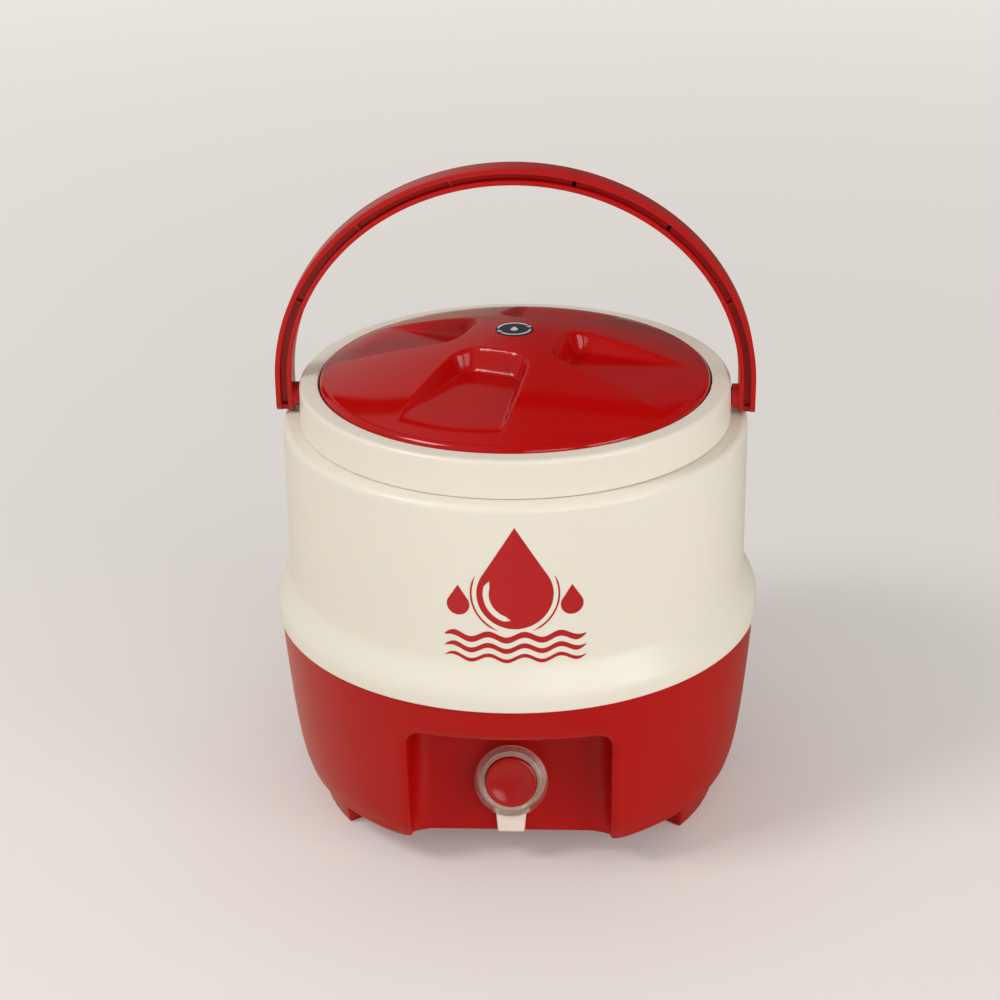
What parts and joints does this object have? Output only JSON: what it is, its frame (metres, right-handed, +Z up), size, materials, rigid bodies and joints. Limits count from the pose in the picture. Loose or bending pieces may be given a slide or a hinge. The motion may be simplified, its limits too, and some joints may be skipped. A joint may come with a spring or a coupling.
{
  "type": "insulated water jug",
  "caption": "Round double-walled drink jug with a screw lid, swinging bail handle and push-button tap in a recessed base.",
  "frame": {"origin": "middle of the jug at the height of the feet's undersides", "axes": "+Z up along the jug's axis, -Y towards the tap, X along the handle's pivots"},
  "size_m": [0.2836, 0.2836, 0.3804],
  "materials": {
    "cream": "smooth satin moulded plastic, cream",
    "red": "glossy moulded plastic, deep red",
    "white": "off-white moulded plastic",
    "foam": "rigid insulating foam, pale yellow",
    "rubber": "soft seal rubber, grey",
    "clear": "clear frosted plastic",
    "label": "printed label film, dark blue grey",
    "steel": "stainless spring wire"
  },
  "bodies": {
    "jug": {"outer_shell": "cream", "base_shell": "red", "inner_liner": "white", "insulation_foam": "foam", "neck_collar": "cream", "tap_body": "white", "tap_ring": "clear", "tap_gasket": "rubber", "tap_nut": "white", "stem_seal": "rubber"},
    "bail": {"handle": "red"},
    "lid_seal": {"lid_gasket": "rubber"},
    "lid": {"lid_cover": "red", "lid_plug": "cream", "lid_foam": "foam", "lid_label": "label"},
    "button": {"tap_button": "red", "valve_stem": "white", "valve_seal": "rubber", "return_spring": "steel"}
  },
  "joints": [
    {"name": "handle_swing", "type": "hinge", "parent": "jug", "child": "bail", "pos_m": [0, 0, 0.2457], "axis": [1, 0, 0], "range_deg": [-90, 90]},
    {"name": "lid_lift", "type": "slide", "parent": "jug", "child": "lid_seal", "axis": [0, 0, 1], "range_m": [0, 0.036]},
    {"name": "lid_turn", "type": "hinge", "parent": "lid_seal", "child": "lid", "pos_m": [0, 0, 0.2585], "axis": [0, 0, 1], "range_deg": [0, 720]},
    {"name": "tap_push", "type": "slide", "parent": "jug", "child": "button", "axis": [0, 0.9659, -0.2588], "range_m": [0, 0.004], "stiffness_N_per_m": 400, "springref_m": -0.003, "deforming": ["return_spring"]}
  ],
  "couplings": [
    {"joint": "lid_lift", "follows": "lid_turn", "m_per_rad": 0.0028648}
  ]
}
